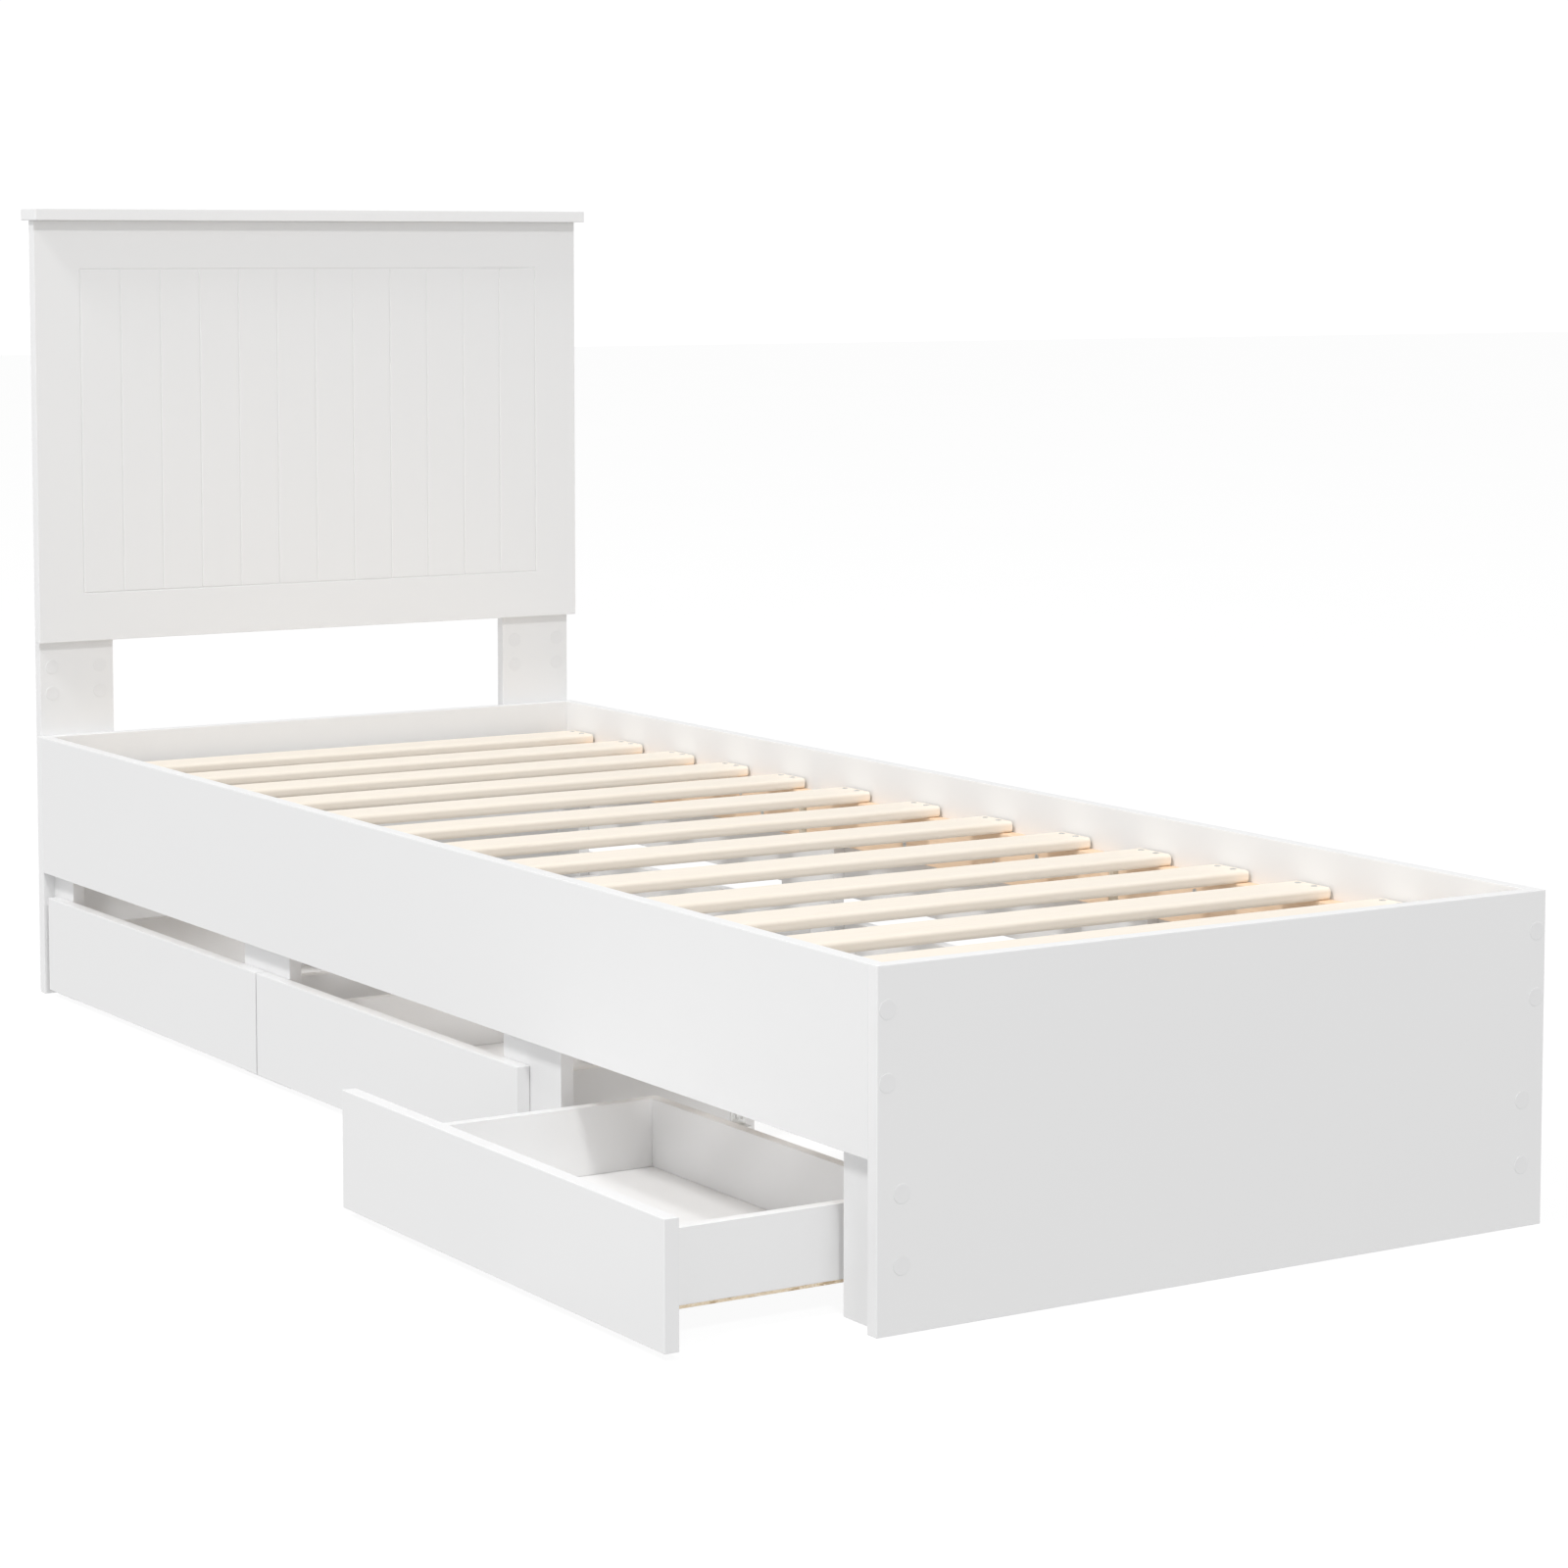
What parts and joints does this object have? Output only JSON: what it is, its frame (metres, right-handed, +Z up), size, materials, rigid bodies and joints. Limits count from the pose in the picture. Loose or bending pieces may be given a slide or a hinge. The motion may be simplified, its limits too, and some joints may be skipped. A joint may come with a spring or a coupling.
{
  "type": "bed frame",
  "caption": "Single storage bed in white board with a panelled headboard on two posts, a slatted deck inside a box base, and three castor drawers along each long side.",
  "frame": {"origin": "middle of the footboard's underside, on the floor", "axes": "+Z up, +Y from the footboard towards the headboard, -X the side with the pulled-out drawer"},
  "size_m": [0.9823, 1.9458, 1],
  "materials": {
    "white_board": "smooth satin white laminate on engineered wood",
    "drawer_white": "smooth satin white laminate on engineered wood",
    "drawer_bottom": "thin white-faced board with raw tan edges",
    "slat_pine": "pale planed softwood",
    "batten_pine": "raw softwood",
    "steel": "zinc-plated steel",
    "white_plastic": "moulded white plastic",
    "grey_plastic": "hard grey plastic tread"
  },
  "bodies": {
    "bed_frame": {"corner_post_foot_left": "white_board", "corner_post_foot_right": "white_board", "corner_post_head_left": "white_board", "corner_post_head_right": "white_board", "divider_foot": "white_board", "divider_head": "white_board", "footboard": "white_board", "head_end_board": "white_board", "headboard_cap": "white_board", "headboard_panel": "white_board", "headboard_post_left": "white_board", "headboard_post_right": "white_board", "mid_post_foot_left": "white_board", "mid_post_foot_right": "white_board", "mid_post_head_left": "white_board", "mid_post_head_right": "white_board", "screw_covers": "white_plastic", "screws_and_brackets": "steel", "side_rail_left": "white_board", "side_rail_right": "white_board", "slat_batten_left": "batten_pine", "slat_batten_right": "batten_pine", "slats_foot": "slat_pine", "slats_head": "slat_pine"},
    "drawer_1_body": {"drawer_1_bottom": "drawer_bottom", "drawer_1_castor_brackets": "white_plastic", "drawer_1_front": "white_board", "drawer_1_walls": "drawer_white"},
    "drawer_1_front_wheels": {"drawer_1_castors_front": "grey_plastic"},
    "drawer_1_rear_wheels": {"drawer_1_castors_rear": "grey_plastic"},
    "drawer_2_body": {"drawer_2_bottom": "drawer_bottom", "drawer_2_castor_brackets": "white_plastic", "drawer_2_front": "white_board", "drawer_2_walls": "drawer_white"},
    "drawer_2_front_wheels": {"drawer_2_castors_front": "grey_plastic"},
    "drawer_2_rear_wheels": {"drawer_2_castors_rear": "grey_plastic"},
    "drawer_3_body": {"drawer_3_bottom": "drawer_bottom", "drawer_3_castor_brackets": "white_plastic", "drawer_3_front": "white_board", "drawer_3_walls": "drawer_white"},
    "drawer_3_front_wheels": {"drawer_3_castors_front": "grey_plastic"},
    "drawer_3_rear_wheels": {"drawer_3_castors_rear": "grey_plastic"},
    "drawer_4_body": {"drawer_4_bottom": "drawer_bottom", "drawer_4_castor_brackets": "white_plastic", "drawer_4_front": "white_board", "drawer_4_walls": "drawer_white"},
    "drawer_4_front_wheels": {"drawer_4_castors_front": "grey_plastic"},
    "drawer_4_rear_wheels": {"drawer_4_castors_rear": "grey_plastic"},
    "drawer_5_body": {"drawer_5_bottom": "drawer_bottom", "drawer_5_castor_brackets": "white_plastic", "drawer_5_front": "white_board", "drawer_5_walls": "drawer_white"},
    "drawer_5_front_wheels": {"drawer_5_castors_front": "grey_plastic"},
    "drawer_5_rear_wheels": {"drawer_5_castors_rear": "grey_plastic"},
    "drawer_6_body": {"drawer_6_bottom": "drawer_bottom", "drawer_6_castor_brackets": "white_plastic", "drawer_6_front": "white_board", "drawer_6_walls": "drawer_white"},
    "drawer_6_front_wheels": {"drawer_6_castors_front": "grey_plastic"},
    "drawer_6_rear_wheels": {"drawer_6_castors_rear": "grey_plastic"}
  },
  "joints": [
    {"name": "drawer_1_slide", "type": "slide", "parent": "bed_frame", "child": "drawer_1_body", "axis": [-1, 0, 0], "range_m": [0, 0.33]},
    {"name": "drawer_1_front_roll", "type": "hinge", "parent": "drawer_1_body", "child": "drawer_1_front_wheels", "pos_m": [-0.3568, 1.5915, 0.011], "axis": [0, 1, 0], "continuous": true},
    {"name": "drawer_1_rear_roll", "type": "hinge", "parent": "drawer_1_body", "child": "drawer_1_rear_wheels", "pos_m": [-0.0968, 1.5915, 0.011], "axis": [0, 1, 0], "continuous": true},
    {"name": "drawer_2_slide", "type": "slide", "parent": "bed_frame", "child": "drawer_2_body", "axis": [-1, 0, 0], "range_m": [0, 0.33]},
    {"name": "drawer_2_front_roll", "type": "hinge", "parent": "drawer_2_body", "child": "drawer_2_front_wheels", "pos_m": [-0.3568, 0.9575, 0.011], "axis": [0, 1, 0], "continuous": true},
    {"name": "drawer_2_rear_roll", "type": "hinge", "parent": "drawer_2_body", "child": "drawer_2_rear_wheels", "pos_m": [-0.0968, 0.9575, 0.011], "axis": [0, 1, 0], "continuous": true},
    {"name": "drawer_3_slide", "type": "slide", "parent": "bed_frame", "child": "drawer_3_body", "axis": [-1, 0, 0], "range_m": [-0.197, 0.133]},
    {"name": "drawer_3_front_roll", "type": "hinge", "parent": "drawer_3_body", "child": "drawer_3_front_wheels", "pos_m": [-0.5538, 0.3235, 0.011], "axis": [0, 1, 0], "continuous": true},
    {"name": "drawer_3_rear_roll", "type": "hinge", "parent": "drawer_3_body", "child": "drawer_3_rear_wheels", "pos_m": [-0.2938, 0.3235, 0.011], "axis": [0, 1, 0], "continuous": true},
    {"name": "drawer_4_slide", "type": "slide", "parent": "bed_frame", "child": "drawer_4_body", "axis": [1, 0, 0], "range_m": [0, 0.33]},
    {"name": "drawer_4_front_roll", "type": "hinge", "parent": "drawer_4_body", "child": "drawer_4_front_wheels", "pos_m": [0.3568, 1.5915, 0.011], "axis": [0, 1, 0], "continuous": true},
    {"name": "drawer_4_rear_roll", "type": "hinge", "parent": "drawer_4_body", "child": "drawer_4_rear_wheels", "pos_m": [0.0968, 1.5915, 0.011], "axis": [0, 1, 0], "continuous": true},
    {"name": "drawer_5_slide", "type": "slide", "parent": "bed_frame", "child": "drawer_5_body", "axis": [1, 0, 0], "range_m": [0, 0.33]},
    {"name": "drawer_5_front_roll", "type": "hinge", "parent": "drawer_5_body", "child": "drawer_5_front_wheels", "pos_m": [0.3568, 0.9575, 0.011], "axis": [0, 1, 0], "continuous": true},
    {"name": "drawer_5_rear_roll", "type": "hinge", "parent": "drawer_5_body", "child": "drawer_5_rear_wheels", "pos_m": [0.0968, 0.9575, 0.011], "axis": [0, 1, 0], "continuous": true},
    {"name": "drawer_6_slide", "type": "slide", "parent": "bed_frame", "child": "drawer_6_body", "axis": [1, 0, 0], "range_m": [0, 0.33]},
    {"name": "drawer_6_front_roll", "type": "hinge", "parent": "drawer_6_body", "child": "drawer_6_front_wheels", "pos_m": [0.3568, 0.3235, 0.011], "axis": [0, 1, 0], "continuous": true},
    {"name": "drawer_6_rear_roll", "type": "hinge", "parent": "drawer_6_body", "child": "drawer_6_rear_wheels", "pos_m": [0.0968, 0.3235, 0.011], "axis": [0, 1, 0], "continuous": true}
  ],
  "couplings": [
    {"joint": "drawer_1_front_roll", "follows": "drawer_1_slide", "rad_per_m": -90.909},
    {"joint": "drawer_1_rear_roll", "follows": "drawer_1_slide", "rad_per_m": -90.909},
    {"joint": "drawer_2_front_roll", "follows": "drawer_2_slide", "rad_per_m": -90.909},
    {"joint": "drawer_2_rear_roll", "follows": "drawer_2_slide", "rad_per_m": -90.909},
    {"joint": "drawer_3_front_roll", "follows": "drawer_3_slide", "rad_per_m": -90.909},
    {"joint": "drawer_3_rear_roll", "follows": "drawer_3_slide", "rad_per_m": -90.909},
    {"joint": "drawer_4_front_roll", "follows": "drawer_4_slide", "rad_per_m": 90.909},
    {"joint": "drawer_4_rear_roll", "follows": "drawer_4_slide", "rad_per_m": 90.909},
    {"joint": "drawer_5_front_roll", "follows": "drawer_5_slide", "rad_per_m": 90.909},
    {"joint": "drawer_5_rear_roll", "follows": "drawer_5_slide", "rad_per_m": 90.909},
    {"joint": "drawer_6_front_roll", "follows": "drawer_6_slide", "rad_per_m": 90.909},
    {"joint": "drawer_6_rear_roll", "follows": "drawer_6_slide", "rad_per_m": 90.909}
  ]
}
